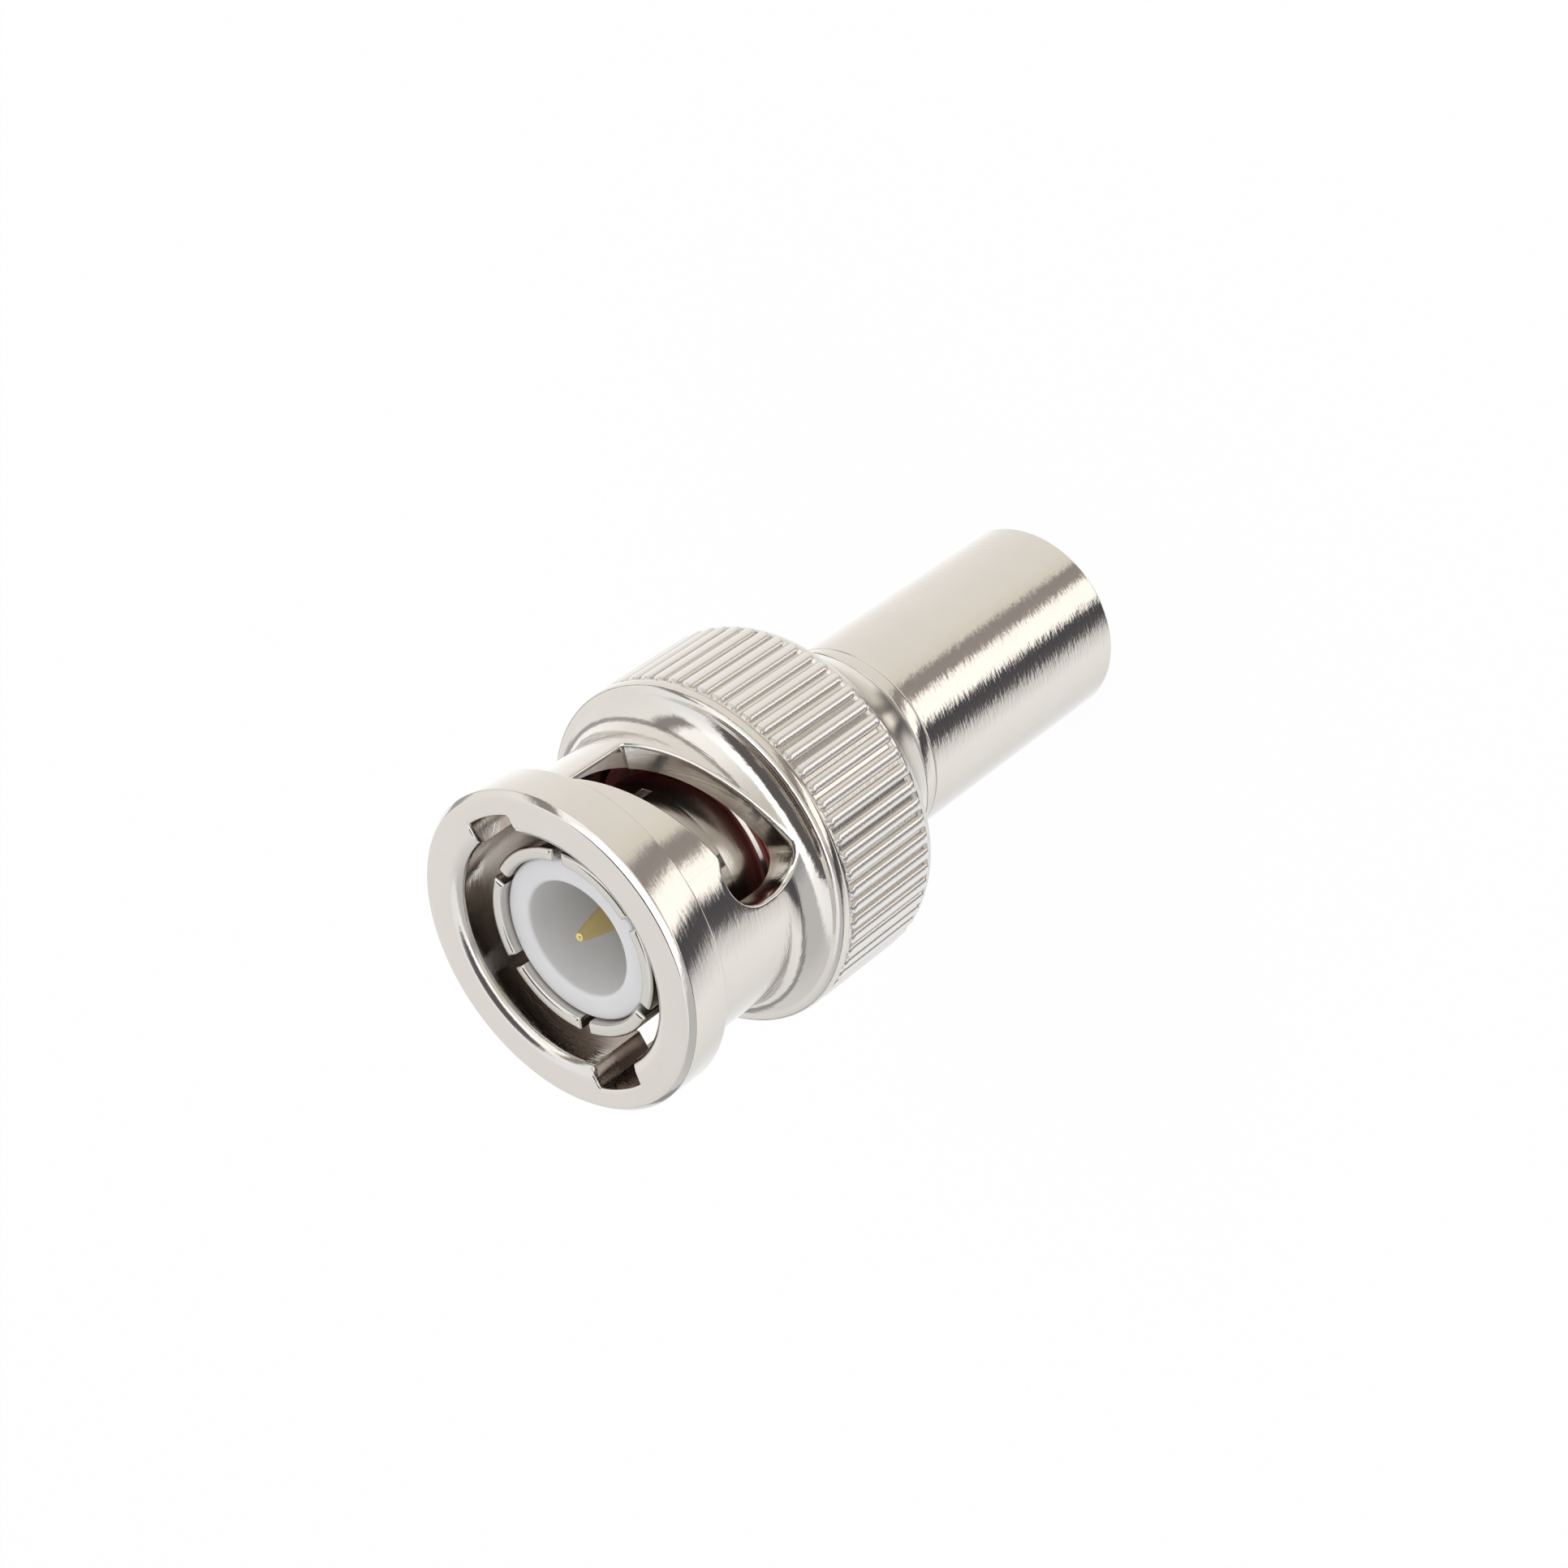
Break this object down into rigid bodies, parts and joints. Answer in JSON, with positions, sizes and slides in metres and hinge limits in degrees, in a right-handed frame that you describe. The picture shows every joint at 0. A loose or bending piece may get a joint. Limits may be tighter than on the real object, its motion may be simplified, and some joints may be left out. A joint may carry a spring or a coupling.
{
  "type": "bnc connector",
  "caption": "Straight bayonet-lock coaxial plug with a knurled coupling nut, slotted outer contact, centre pin and a crimp sleeve.",
  "frame": {"origin": "centre of the crimp sleeve's open rear end, on the cable axis, where the plug stands", "axes": "+Z along the cable axis from the sleeve's rear end to the mating face; +Y through one bayonet entry channel"},
  "size_m": [0.0148, 0.0146, 0.0302],
  "materials": {
    "nickel": "nickel plate, turned",
    "nickel_body": "nickel plate, turned",
    "contact_plate": "nickel plate, fine turned",
    "insulator": "white fluoropolymer",
    "pin_gold": "gold plate",
    "gasket": "dark red silicone",
    "spring_steel": "rolled strip"
  },
  "bodies": {
    "plug": {"crimp_sleeve": "nickel_body", "rear_body": "nickel_body", "outer_contact": "contact_plate", "front_insulator": "insulator", "rear_insulator": "insulator", "centre_pin": "pin_gold", "gasket": "gasket", "flange_washer": "spring_steel", "wave_washer": "spring_steel"},
    "thrust": {"thrust_washer": "spring_steel"},
    "nut": {"coupling_nut": "nickel"}
  },
  "joints": [
    {"name": "nut_draw", "type": "slide", "parent": "plug", "child": "thrust", "axis": [0, 0, 1], "range_m": [0, 0.0007], "stiffness_N_per_m": 6000, "springref_m": -0.0004, "deforming": ["wave_washer"]},
    {"name": "nut_turn", "type": "hinge", "parent": "thrust", "child": "nut", "pos_m": [0, 0, 0.022], "axis": [0, 0, 1], "continuous": true}
  ]
}
